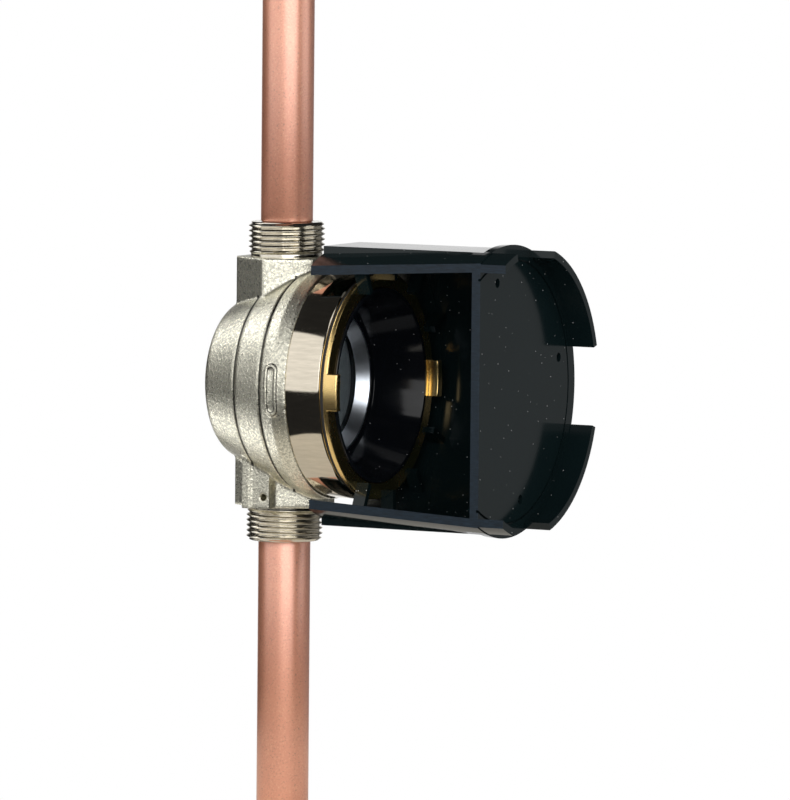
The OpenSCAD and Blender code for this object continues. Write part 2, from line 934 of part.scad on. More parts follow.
module site_cover() {
    beyond = 2 * cover_front_r;
    color(black)
    on_axis()
    difference() {
        union() {
            difference() {
                rotate_extrude()
                    cover_wall_outline();
                for (side = [-1, 1])
                    translate([-beyond / 2, side * (flat_r + beyond / 2) - beyond / 2, cover_rear - 1])
                        cube([beyond, beyond, plate_back - cover_rear + 1]);
            }
            cover_pads();
            cover_ribs();
            cover_wings();
        }
        washer(frame_r - frame_groove, frame_r, cover_front - frame_groove, cover_front + eps);
        translate([-section_x - beyond, -beyond, 0])
            cube([beyond, 2 * beyond, 2 * wing_front]);
        for (i = [0 : 2])
            rotate([0, 0, plate_hole_turn + 90 * (i - 1)])
                translate([plate_hole_r, 0, plate_back - eps])
                    cylinder(d = plate_hole_d, h = cover_plate_t + 2 * eps, $fn = 24);
    }
}

meter_body();
lower_pipe();
upper_pipe();
inlet_strainer();
measuring_chamber();
pivot_bearing();
impeller();
impeller_spindle();
impeller_magnet();
chamber_gasket();
pressure_plate();
drive_magnet();
drive_arbor();
register_plate();
flow_wheel();
flow_star();
litre_wheel();
litre_pointer();
cubic_wheel();
cubic_pointer();
dial();
register_cup();
window();
bezel_ring();
head_gasket();
lug_ring();
site_cover();
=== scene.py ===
"""Looks of a concealed water meter: a nickel-plated casting on copper pipes under a sectioned cover."""
import json
import logging
import math
from dataclasses import dataclass
from enum import Enum
from typing import Optional, Sequence, Union

import bmesh
import bpy
from mathutils import Matrix, Vector


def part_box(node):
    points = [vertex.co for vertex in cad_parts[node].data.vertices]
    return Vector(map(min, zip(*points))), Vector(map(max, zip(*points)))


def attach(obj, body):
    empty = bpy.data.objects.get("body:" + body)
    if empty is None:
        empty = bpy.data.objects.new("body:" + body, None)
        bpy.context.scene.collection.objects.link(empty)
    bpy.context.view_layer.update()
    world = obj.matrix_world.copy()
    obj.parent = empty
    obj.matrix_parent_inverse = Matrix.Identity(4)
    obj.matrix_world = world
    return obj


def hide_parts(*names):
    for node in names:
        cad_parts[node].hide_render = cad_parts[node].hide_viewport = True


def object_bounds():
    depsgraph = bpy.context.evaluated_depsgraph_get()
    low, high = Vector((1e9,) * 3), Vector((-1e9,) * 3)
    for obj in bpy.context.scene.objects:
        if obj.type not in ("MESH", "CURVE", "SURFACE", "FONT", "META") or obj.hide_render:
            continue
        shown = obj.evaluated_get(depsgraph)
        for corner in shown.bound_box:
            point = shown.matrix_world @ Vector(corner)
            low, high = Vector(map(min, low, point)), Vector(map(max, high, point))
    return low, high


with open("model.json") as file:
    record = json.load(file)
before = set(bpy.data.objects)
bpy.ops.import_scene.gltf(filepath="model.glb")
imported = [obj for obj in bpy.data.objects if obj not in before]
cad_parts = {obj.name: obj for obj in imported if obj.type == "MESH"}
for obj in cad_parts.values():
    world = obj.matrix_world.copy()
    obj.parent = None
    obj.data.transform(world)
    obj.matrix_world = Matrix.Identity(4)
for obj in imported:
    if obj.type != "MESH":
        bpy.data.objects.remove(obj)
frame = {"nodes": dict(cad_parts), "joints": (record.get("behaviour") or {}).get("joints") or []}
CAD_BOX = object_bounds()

LOG = logging.getLogger("water_meter")
MM = 0.001
METER = "meter"
COVER = "cover_unit"
Colour = tuple[float, float, float]
Profile = list[tuple[float, float]]
Stops = tuple[tuple[float, float], ...]

BOWL_AXIS_HEIGHT = (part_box("lower_pipe")[0].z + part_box("upper_pipe")[1].z) / 2
CENTRE = Vector((0.0, 0.0, BOWL_AXIS_HEIGHT))
BOWL_FRAME = Matrix.Translation(CENTRE) @ Matrix.Rotation(math.radians(90), 4, "X")
PIPE_FRAME = Matrix.Translation(CENTRE)

# The raised oval on the casting: middle line of its bead, and its place in front of the pipes.
OVAL_FRONT = 15.5 * MM
OVAL_WIDTH = 3.7 * MM
OVAL_LENGTH = 16.6 * MM
OVAL_STRAIGHT = (OVAL_LENGTH - OVAL_WIDTH) / 2

# Mesh work: distances for welding, and how edges are found and eased.
AXIS_WELD = 1e-7
MESH_WELD = 1e-6
CORNER_SHARE = 0.4
FLAT_ANGLE = math.radians(0.4)
EDGE_ANGLE = math.radians(28)
EDGE_STEPS = 2


class Sock:
    """A shader socket that takes part in Python expressions."""

    def __init__(self, bench: "Bench", socket: bpy.types.NodeSocket) -> None:
        """Keep the socket and the bench that adds nodes for it."""
        self.bench = bench
        self.socket = socket

    def _math(self, operation: str, first: "Value", second: "Value") -> "Sock":
        """Add one Math node.

        Args:
            operation: Blender's name of the operation.
            first: left-hand value or socket.
            second: right-hand value or socket.

        Returns:
            The result's socket.
        """
        return self.bench.add("ShaderNodeMath", {"operation": operation}, {0: first, 1: second})

    def __add__(self, other: "Value") -> "Sock":
        """Sum."""
        return self._math("ADD", self, other)

    def __radd__(self, other: "Value") -> "Sock":
        """Sum with a plain number on the left."""
        return self._math("ADD", other, self)

    def __sub__(self, other: "Value") -> "Sock":
        """Difference."""
        return self._math("SUBTRACT", self, other)

    def __rsub__(self, other: "Value") -> "Sock":
        """Difference with a plain number on the left."""
        return self._math("SUBTRACT", other, self)

    def __mul__(self, other: "Value") -> "Sock":
        """Product."""
        return self._math("MULTIPLY", self, other)

    def __rmul__(self, other: "Value") -> "Sock":
        """Product with a plain number on the left."""
        return self._math("MULTIPLY", other, self)

    def __gt__(self, other: "Value") -> "Sock":
        """1 where this is greater, else 0."""
        return self._math("GREATER_THAN", self, other)

    def __lt__(self, other: "Value") -> "Sock":
        """1 where this is less, else 0."""
        return self._math("LESS_THAN", self, other)


Value = Union[Sock, float]


class Bench:
    """Adds nodes to one node tree."""

    def __init__(self, tree: bpy.types.NodeTree) -> None:
        """Start with an empty tree."""
        self.tree = tree
        tree.nodes.clear()

    def add(self, kind: str, settings: Optional[dict] = None, sockets: Optional[dict] = None,
            output: Union[int, str] = 0) -> Sock:
        """Add any node.

        Args:
            kind: the node's Blender type.
            settings: attributes of the node, set before its sockets; "stops" fills a colour ramp.
            sockets: input name or number to a value or a Sock.
            output: name or number of the output that is returned.

        Returns:
            The chosen output.
        """
        node = self.tree.nodes.new(kind)
        for key, value in (settings or {}).items():
            if key == "stops":
                self._fill_ramp(node, value)
            else:
                setattr(node, key, value)
        for key, value in (sockets or {}).items():
            if isinstance(value, Sock):
                self.tree.links.new(value.socket, node.inputs[key])
            else:
                node.inputs[key].default_value = value
        return Sock(self, node.outputs[output]) if node.outputs else Sock(self, None)

    @staticmethod
    def _fill_ramp(node: bpy.types.Node, stops: Stops) -> None:
        """Give a colour ramp its grey stops.

        Args:
            node: the ramp.
            stops: place and level of each stop.
        """
        elements = node.color_ramp.elements
        while len(elements) < len(stops):
            elements.new(0.5)
        for element, (place, level) in zip(elements, stops):
            element.position = place
            element.color = (level, level, level, 1)

    def place(self) -> Sock:
        """Position on the object, in metres in the row frame."""
        return self.add("ShaderNodeTexCoord", output="Object")

    def axes(self) -> tuple[Sock, Sock, Sock]:
        """The three coordinates of the position."""
        split = self.add("ShaderNodeSeparateXYZ", sockets={0: self.place()}).socket.node
        return tuple(Sock(self, output) for output in split.outputs)

    def stretched(self, factors: Sequence[float]) -> Sock:
        """Position multiplied along each axis."""
        return self.add("ShaderNodeVectorMath", {"operation": "MULTIPLY"},
                        {0: self.place(), 1: tuple(factors)})

    def noise(self, scale: float, detail: float = 2.0, roughness: float = 0.5,
              vector: Optional[Sock] = None) -> Sock:
        """Noise between 0 and 1.

        Args:
            scale: waves per metre.
            detail: octaves.
            roughness: weight of the finer octaves.
            vector: position to use in place of the object's own.

        Returns:
            The noise value.
        """
        return self.add("ShaderNodeTexNoise", {},
                        {"Vector": vector or self.place(), "Scale": scale, "Detail": detail,
                         "Roughness": roughness}, "Fac")

    def ramp(self, factor: Sock, *stops: tuple[float, float]) -> Sock:
        """A grey ramp over the factor."""
        return self.add("ShaderNodeValToRGB", {"stops": stops}, {0: factor})

    def tint(self, factor: Value, low: Union[Colour, Sock], high: Union[Colour, Sock]) -> Sock:
        """Mix two colours.

        Args:
            factor: 0 for the first colour, 1 for the second.
            low: first colour.
            high: second colour.

        Returns:
            The mixed colour.
        """
        def rgba(colour: Union[Colour, Sock]) -> Union[tuple, Sock]:
            """A colour with its alpha, or the socket itself."""
            return colour if isinstance(colour, Sock) else (*colour, 1.0)
        return self.add("ShaderNodeMix", {"data_type": "RGBA"},
                        {0: factor, 6: rgba(low), 7: rgba(high)}, 2)

    def bump(self, height: Sock, strength: float, distance: float) -> Sock:
        """A normal from a height map, distance in metres."""
        return self.add("ShaderNodeBump", {}, {"Strength": strength, "Distance": distance,
                                               "Height": height})

    def finish(self, **sockets: Union[Value, tuple]) -> None:
        """Close the tree with a Principled shader.

        Args:
            sockets: the shader's inputs, with underscores for the spaces in their names.
        """
        named = {key.replace("_", " "): value for key, value in sockets.items()}
        shader = self.add("ShaderNodeBsdfPrincipled", {}, named)
        self.add("ShaderNodeOutputMaterial", {}, {0: shader})


@dataclass(frozen=True)
class Finish:
    """A surface finish; each kind paints its own nodes."""

    name: str
    colour: Colour
    roughness: float

    def material(self) -> bpy.types.Material:
        """The Blender material, made once.

        Returns:
            The material of this finish's name.
        """
        made = bpy.data.materials.get(self.name)
        if made is None:
            made = bpy.data.materials.new(self.name)
            made.use_nodes = True
            self.paint(Bench(made.node_tree))
            made.diffuse_color = (*self.colour, 1)
        return made

    def paint(self, bench: Bench) -> None:
        """Add the finish's nodes."""
        raise NotImplementedError


def shade(colour: Colour, factor: float) -> Colour:
    """A colour made darker or lighter."""
    return tuple(min(1.0, channel * factor) for channel in colour)


@dataclass(frozen=True)
class CastPlate(Finish):
    """Nickel plate over a sand-cast skin: grainy, with bright facets."""

    grain: float = 1100.0
    depth: float = 0.24 * MM
    fine_ratio: float = 2.7
    coarse_share: float = 0.6
    pit_ramp: Stops = ((0.38, 0.0), (0.55, 1.0))
    pit_shade: float = 0.44
    pit_dullness: float = 0.18
    drift_scale: float = 60.0
    drift_share: float = 0.35
    drift_shade: float = 0.8
    # Painted shadow in the casting's two grooves: place and reach of each, half width of the darkened line
    # and how dark it is.
    grooves: tuple = ((2.4 * MM, 34.2 * MM), (-10.0 * MM, 39.0 * MM))
    groove_half: float = 0.42 * MM
    groove_shade: float = 0.10
    # Painted shadow at the feet of the raised oval: where the two dark lines lie and how dark they are.
    oval_lines: tuple = ((-0.80 * MM, -0.40 * MM), (0.40 * MM, 0.85 * MM))
    oval_shade: float = 0.16

    def paint(self, bench: Bench) -> None:
        """Sand grain as bump, with darker pits, and painted shadow in the grooves and along the oval's feet.

        Args:
            bench: the material's tree.
        """
        coarse = bench.noise(self.grain, detail=3, roughness=0.6)
        fine = bench.noise(self.grain * self.fine_ratio, detail=2, roughness=0.55)
        height = coarse * self.coarse_share + fine * (1 - self.coarse_share)
        pits = bench.ramp(height, *self.pit_ramp)
        drift = bench.noise(self.drift_scale)
        colour = bench.tint(pits, shade(self.colour, self.pit_shade), self.colour)
        colour = bench.tint(drift * self.drift_share, colour, shade(self.colour, self.drift_shade))
        x, y, z = bench.axes()
        up = z - CENTRE.z
        # Painted shadow: a dark line along each groove, within its reach of the bowl's axis.
        for place, reach in self.grooves:
            off = y - place
            groove_shadow_mask = (off * off < self.groove_half ** 2) * (x * x + up * up < reach ** 2)
            colour = bench.tint(groove_shadow_mask, colour, shade(self.colour, self.groove_shade))
        # Painted shadow along the oval's feet, on the near side only.
        colour = bench.tint(self.oval_soil(bench, x, y, up), colour, shade(self.colour, self.oval_shade))
        bench.finish(Base_Color=colour, Metallic=1.0,
                     Roughness=self.roughness + (1 - pits) * self.pit_dullness,
                     Normal=bench.bump(height, 1.0, self.depth))

    def oval_soil(self, bench: Bench, x: Sock, y: Sock, up: Sock) -> Sock:
        """Painted shadow along both feet of the raised oval.

        Args:
            bench: the material's tree.
            x: place across the pipes.
            y: place along the bowl's axis.
            up: height above the bowl's axis.

        Returns:
            1 on the lines of painted shadow.
        """
        across = y + OVAL_FRONT
        height = bench.add("ShaderNodeMath", {"operation": "ABSOLUTE"}, {0: up})
        past_straight = height - OVAL_STRAIGHT
        along = bench.add("ShaderNodeMath", {"operation": "MAXIMUM"}, {0: past_straight, 1: 0.0})
        reach = across * across + along * along
        half = OVAL_WIDTH / 2
        inner, outer = ((reach > (half + low) ** 2) * (reach < (half + high) ** 2)
                        for low, high in self.oval_lines)
        return (inner + outer) * (x < 0.0)


@dataclass(frozen=True)
class TurnedPlate(Finish):
    """Plated metal off the lathe: fine lines around the axis."""

    line_stretch: tuple = (40, 9000, 40)
    line_strength: float = 0.12
    line_depth: float = 0.01 * MM
    rub_stretch: tuple = (900, 130, 900)
    rub_ramp: Stops = ((0.35, 0.0), (0.7, 1.0))
    rub_shade: float = 0.86
    rub_dullness: float = 0.05

    def paint(self, bench: Bench) -> None:
        """Turning lines that follow the bowl's axis, and faint rubbed patches.

        Args:
            bench: the material's tree.
        """
        lines = bench.noise(1.0, detail=3, roughness=0.7, vector=bench.stretched(self.line_stretch))
        rubbed = bench.noise(1.0, detail=4, roughness=0.6, vector=bench.stretched(self.rub_stretch))
        streak = bench.ramp(rubbed, *self.rub_ramp)
        colour = bench.tint(streak, shade(self.colour, self.rub_shade), self.colour)
        bench.finish(Base_Color=colour, Metallic=1.0,
                     Roughness=self.roughness + streak * self.rub_dullness,
                     Normal=bench.bump(lines, self.line_strength, self.line_depth))


@dataclass(frozen=True)
class DrawnCopper(Finish):
    """Drawn copper tube with a dull, speckled skin."""

    speck_scale: float = 1500.0
    light_specks: Stops = ((0.52, 0.0), (0.75, 0.8))
    light_shade: float = 1.5
    dark_specks: Stops = ((0.26, 0.7), (0.42, 0.0))
    dark_shade: float = 0.35
    drawn_stretch: tuple = (1700, 1700, 25)
    tarnish_scale: float = 35.0
    tarnish_ramp: Stops = ((0.3, 0.0), (0.75, 1.0))
    tarnish_tint: Colour = (0.86, 0.80, 0.80)
    tarnish_dullness: float = 0.12
    speck_share: float = 0.7
    skin_strength: float = 0.5
    skin_depth: float = 0.07 * MM

    def paint(self, bench: Bench) -> None:
        """Speckle, drawing lines along the tube and slow tarnish.

        Args:
            bench: the material's tree.
        """
        speck = bench.noise(self.speck_scale, detail=3, roughness=0.65)
        drawn = bench.noise(1.0, detail=3, roughness=0.6, vector=bench.stretched(self.drawn_stretch))
        tarnish = bench.noise(self.tarnish_scale, detail=4, roughness=0.6)
        dull = tuple(channel * tint for channel, tint in zip(self.colour, self.tarnish_tint))
        colour = bench.tint(bench.ramp(tarnish, *self.tarnish_ramp), self.colour, dull)
        light = shade(self.colour, self.light_shade)
        colour = bench.tint(bench.ramp(speck, *self.light_specks), colour, light)
        dark = shade(self.colour, self.dark_shade)
        colour = bench.tint(bench.ramp(speck, *self.dark_specks), colour, dark)
        skin = speck * self.speck_share + drawn * (1 - self.speck_share)
        bench.finish(Base_Color=colour, Metallic=0.9, Coat_Weight=0.9, Coat_IOR=2.5, Coat_Roughness=0.33,
                     Roughness=self.roughness + tarnish * self.tarnish_dullness,
                     Normal=bench.bump(skin, self.skin_strength, self.skin_depth))


@dataclass(frozen=True)
class BrightMetal(Finish):
    """Smooth bare metal with a faint texture."""

    grain: float = 2500.0
    grain_strength: float = 0.18
    grain_depth: float = 0.02 * MM
    stain_scale: float = 110.0
    stain_ramp: Stops = ((0.35, 0.0), (0.8, 1.0))
    stain_shade: float = 0.78
    stain_dullness: float = 0.1

    def paint(self, bench: Bench) -> None:
        """Faint grain and slow stains.

        Args:
            bench: the material's tree.
        """
        grain = bench.noise(self.grain)
        stain = bench.noise(self.stain_scale, detail=3, roughness=0.6)
        stained = shade(self.colour, self.stain_shade)
        bench.finish(Base_Color=bench.tint(bench.ramp(stain, *self.stain_ramp), self.colour, stained),
                     Metallic=1.0, Roughness=self.roughness + stain * self.stain_dullness,
                     Normal=bench.bump(grain, self.grain_strength, self.grain_depth))


@dataclass(frozen=True)
class Moulding(Finish):
    """Moulded plastic or rubber with a fine skin and a few specks of dust."""

    speck: float = 0.0
    skin: float = 1800.0
    skin_depth: float = 0.01 * MM
    skin_strength: float = 0.2
    haze_scale: float = 45.0
    haze_shades: tuple = (0.85, 1.15)
    haze_dullness: float = 0.08
    dust_scale: float = 400.0
    dust_share: float = 0.5
    dust_reach: float = 0.075

    def paint(self, bench: Bench) -> None:
        """Skin texture and dust specks.

        Args:
            bench: the material's tree.
        """
        skin, haze = self.skin_noise(bench)
        bench.finish(Base_Color=self.moulded(bench, haze),
                     Roughness=self.roughness + haze * self.haze_dullness,
                     Normal=bench.bump(skin, self.skin_strength, self.skin_depth))

    def skin_noise(self, bench: Bench) -> tuple[Sock, Sock]:
        """The fine skin and the slow haze over it."""
        return bench.noise(self.skin), bench.noise(self.haze_scale, detail=3, roughness=0.6)

    def moulded(self, bench: Bench, haze: Sock) -> Sock:
        """Colour of the moulded skin.

        Args:
            bench: the material's tree.
            haze: slow noise over the skin.

        Returns:
            The colour, with dust where the finish has any.
        """
        dim, pale = (shade(self.colour, factor) for factor in self.haze_shades)
        colour = bench.tint(haze, dim, pale)
        if self.speck > 0:
            colour = bench.tint(self.dust(bench), colour, (self.speck,) * 3)
        return colour

    def dust(self, bench: Bench) -> Sock:
        """Small scattered specks.

        Args:
            bench: the material's tree.

        Returns:
            1 on a speck.
        """
        cells = {"Vector": bench.place(), "Scale": self.dust_scale}
        near = bench.add("ShaderNodeTexVoronoi", {}, cells, "Distance")
        pick = bench.add("ShaderNodeTexVoronoi", {}, cells, "Color")
        chosen = bench.add("ShaderNodeSeparateColor", {}, {0: pick}) > self.dust_share
        return chosen * (near < self.dust_reach)


@dataclass(frozen=True)
class SawnMoulding(Moulding):
    """Black moulding whose faces on the section plane are sawn and left dull."""

    plane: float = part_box("site_cover")[0].x
    plane_skin: float = 0.05 * MM
    sawn_colour: Colour = (0.005, 0.011, 0.018)
    sawn_dullness: float = 0.25
    saw_stretch: tuple = (1, 260, 2600)
    saw_ramp: Stops = ((0.4, 0.0), (0.7, 1.0))
    saw_shade: float = 2.2
    saw_relief: float = 3.0

    def paint(self, bench: Bench) -> None:
        """Saw lines on the section plane, moulded skin elsewhere.

        Args:
            bench: the material's tree.
        """
        sawn = bench.axes()[0] < self.plane + self.plane_skin
        skin, haze = self.skin_noise(bench)
        saw = bench.noise(1.0, detail=3, roughness=0.7, vector=bench.stretched(self.saw_stretch))
        scratched = bench.tint(bench.ramp(saw, *self.saw_ramp), self.sawn_colour,
                               shade(self.sawn_colour, self.saw_shade))
        height = skin * (1 - sawn) + saw * sawn * self.saw_relief
        bench.finish(Base_Color=bench.tint(sawn, self.moulded(bench, haze), scratched),
                     Roughness=self.roughness + haze * self.haze_dullness + sawn * self.sawn_dullness,
                     Specular_IOR_Level=0.34,
                     Normal=bench.bump(height, self.skin_strength, self.skin_depth))


@dataclass(frozen=True)
class ClearPane(Finish):
    """Clear window pane with faint smears."""

    smear_scale: float = 90.0
    smear_ramp: Stops = ((0.5, 0.0), (0.8, 1.0))
    smear_dullness: float = 0.05

    def paint(self, bench: Bench) -> None:
        """Transmission with smears in the roughness.

        Args:
            bench: the material's tree.
        """
        smear = bench.ramp(bench.noise(self.smear_scale, detail=3, roughness=0.6), *self.smear_ramp)
        bench.finish(Base_Color=(*self.colour, 1), Roughness=self.roughness + smear * self.smear_dullness,
                     Transmission_Weight=1.0, IOR=1.49)


class Look(Enum):
    """The finishes of this meter."""

    CAST = CastPlate("cast_nickel", (0.97, 0.94, 0.79), 0.26)
    TURNED = TurnedPlate("turned_nickel", (0.74, 0.67, 0.55), 0.05)
    THREAD = BrightMetal("thread_nickel", (0.82, 0.77, 0.66), 0.10)
    COPPER = DrawnCopper("drawn_copper", (0.93, 0.37, 0.21), 0.40)
    BRASS = BrightMetal("lug_brass", (1.0, 0.72, 0.30), 0.22)
    GEAR_BRASS = BrightMetal("gear_brass", (0.80, 0.60, 0.26), 0.30)
    PLATE_BRASS = TurnedPlate("plate_brass", (0.78, 0.60, 0.28), 0.28)
    STEEL = BrightMetal("ground_steel", (0.66, 0.67, 0.69), 0.28)
    BEZEL = BrightMetal("polished_bezel", (0.84, 0.90, 0.98), 0.24)
    FERRITE = Moulding("ferrite", (0.05, 0.05, 0.055), 0.6, 0.0, 3000.0, 0.03 * MM)
    BLACK = Moulding("black_moulding", (0.004, 0.005, 0.007), 0.06, 0.30)
    SAWN = SawnMoulding("sawn_black_moulding", (0.004, 0.009, 0.010), 0.09, 0.36)
    RUBBER = Moulding("gasket_rubber", (0.022, 0.022, 0.024), 0.55, 0.0, 2200.0, 0.03 * MM)
    NATURAL = Moulding("natural_plastic", (0.74, 0.71, 0.62), 0.42)
    BLUE = Moulding("impeller_plastic", (0.06, 0.16, 0.42), 0.40)
    RUBY = Moulding("bearing_jewel", (0.30, 0.02, 0.05), 0.12)
    GREY = Moulding("register_plastic", (0.62, 0.62, 0.60), 0.45)
    RED = Moulding("pointer_red", (0.55, 0.02, 0.015), 0.30)
    WHITE = Moulding("dial_white", (0.84, 0.84, 0.82), 0.42)
    INK = Moulding("dial_ink", (0.015, 0.015, 0.018), 0.50)
    PANE = ClearPane("window_pane", (0.58, 0.63, 0.66), 0.02)

    def dress(self, obj: bpy.types.Object) -> None:
        """Give an object this finish alone."""
        obj.data.materials.clear()
        obj.data.materials.append(self.value.material())


def new_object(name: str, mesh: bpy.types.Mesh) -> bpy.types.Object:
    """Link a new object to the scene.

    Args:
        name: its name.
        mesh: its mesh.

    Returns:
        The object.
    """
    obj = bpy.data.objects.new(name, mesh)
    bpy.context.scene.collection.objects.link(obj)
    return obj


def from_bmesh(name: str, bm: bmesh.types.BMesh) -> bpy.types.Object:
    """Turn a bmesh into a smooth-shaded object with its normals outward.

    Args:
        name: name of the new object.
        bm: the faces, which are freed.

    Returns:
        The object.
    """
    bmesh.ops.recalc_face_normals(bm, faces=bm.faces)
    mesh = bpy.data.meshes.new(name)
    bm.to_mesh(mesh)
    bm.free()
    mesh.shade_smooth()
    return new_object(name, mesh)


def eased(profile: Profile, radius: float) -> Profile:
    """Round the corners of a closed profile.

    Args:
        profile: corners in order, the last joined to the first.
        radius: length taken off each side of a corner.

    Returns:
        The profile with three points at each corner.
    """
    result: Profile = []
    count = len(profile)
    for i, corner in enumerate(profile):
        here = Vector(corner)
        before = Vector(profile[i - 1]) - here
        after = Vector(profile[(i + 1) % count]) - here
        cut = min(radius, before.length * CORNER_SHARE, after.length * CORNER_SHARE)
        start = here + before.normalized() * cut
        end = here + after.normalized() * cut
        middle = (start + end) / 4 + here / 2
        result += [tuple(start), tuple(middle), tuple(end)]
    return result


def join_rings(bm: bmesh.types.BMesh, rings: list[list[bmesh.types.BMVert]]) -> None:
    """Join closed rings of points to their neighbours, and the last to the first.

    Args:
        bm: where the faces are made.
        rings: rings of as many points each.
    """
    for step, ring in enumerate(rings):
        following = rings[(step + 1) % len(rings)]
        for i in range(len(ring)):
            j = (i + 1) % len(ring)
            bm.faces.new((ring[i], following[i], following[j], ring[j]))


def revolved(name: str, profile: Profile, place: Matrix, segments: int) -> bpy.types.Object:
    """Turn a closed profile about the local Z axis.

    Args:
        name: name of the new object.
        profile: (radius, height) corners of a closed loop.
        place: frame of the axis.
        segments: steps around.

    Returns:
        A closed object.
    """
    bm = bmesh.new()
    rings = []
    for step in range(segments):
        angle = 2 * math.pi * step / segments
        spoke = Vector((math.cos(angle), math.sin(angle), 0))
        rings.append([bm.verts.new(place @ (spoke * r + Vector((0, 0, h)))) for r, h in profile])
    join_rings(bm, rings)
    bmesh.ops.remove_doubles(bm, verts=bm.verts, dist=AXIS_WELD)
    return from_bmesh(name, bm)


def slab(name: str, low: Vector, high: Vector) -> bpy.types.Object:
    """A plain box used to trim other meshes.

    Args:
        name: name of the new object.
        low: its lower corner.
        high: its upper corner.

    Returns:
        The box.
    """
    bm = bmesh.new()
    bmesh.ops.create_cube(bm, size=1.0)
    size = high - low
    for vert in bm.verts:
        vert.co = low + Vector([(c + 0.5) * s for c, s in zip(vert.co, size)])
    return from_bmesh(name, bm)


def settle(obj: bpy.types.Object) -> None:
    """Apply an object's modifiers to its mesh.

    Args:
        obj: the object.
    """
    graph = bpy.context.evaluated_depsgraph_get()
    mesh = bpy.data.meshes.new_from_object(obj.evaluated_get(graph))
    obj.modifiers.clear()
    obj.data = mesh


def carve(obj: bpy.types.Object, tool: bpy.types.Object, operation: str) -> None:
    """Apply a boolean with a tool that is then thrown away.

    Args:
        obj: the object that is changed.
        tool: the other object.
        operation: Blender's name of the operation.
    """
    cut = obj.modifiers.new(operation, "BOOLEAN")
    cut.operation = operation
    cut.solver = "MANIFOLD"
    cut.object = tool
    settle(obj)
    bpy.data.objects.remove(tool)


def plain_mesh(node: str) -> bpy.types.Mesh:
    """A welded copy of a CAD node's mesh, without its stored normals.

    Args:
        node: the CAD node.

    Returns:
        The copy.
    """
    mesh = frame["nodes"][node].data.copy()
    if "custom_normal" in mesh.attributes:
        mesh.attributes.remove(mesh.attributes["custom_normal"])
    bm = bmesh.new()
    bm.from_mesh(mesh)
    bmesh.ops.remove_doubles(bm, verts=bm.verts, dist=MESH_WELD)
    bm.to_mesh(mesh)
    bm.free()
    return mesh


def adopt(obj: bpy.types.Object, body: str, node: str, look: Look) -> None:
    """Dress a new piece, let it ride on a body and stand for a CAD node.

    Args:
        obj: the piece.
        body: CAD body that it moves with.
        node: CAD node that it stands for, and which is hidden.
        look: its finish.
    """
    look.dress(obj)
    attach(obj, body)
    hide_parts(node)
    LOG.info("piece %s rides on %s", obj.name, body)


def soft_copy(node: str, body: str, look: Look, width: float) -> None:
    """Stand for a CAD node with a copy whose edges are eased.

    Args:
        node: the CAD node.
        body: body that it moves with.
        look: its finish.
        width: size of the eased edge.
    """
    obj = new_object(node + "_eased", plain_mesh(node))
    obj.data.shade_smooth()
    flatten = obj.modifiers.new("flatten", "DECIMATE")
    flatten.decimate_type = "DISSOLVE"
    flatten.angle_limit = FLAT_ANGLE
    ease = obj.modifiers.new("ease", "BEVEL")
    ease.limit_method = "ANGLE"
    ease.angle_limit = EDGE_ANGLE
    ease.width = width
    ease.segments = EDGE_STEPS
    even = obj.modifiers.new("even", "WEIGHTED_NORMAL")
    even.keep_sharp = True
    settle(obj)
    adopt(obj, body, node, look)


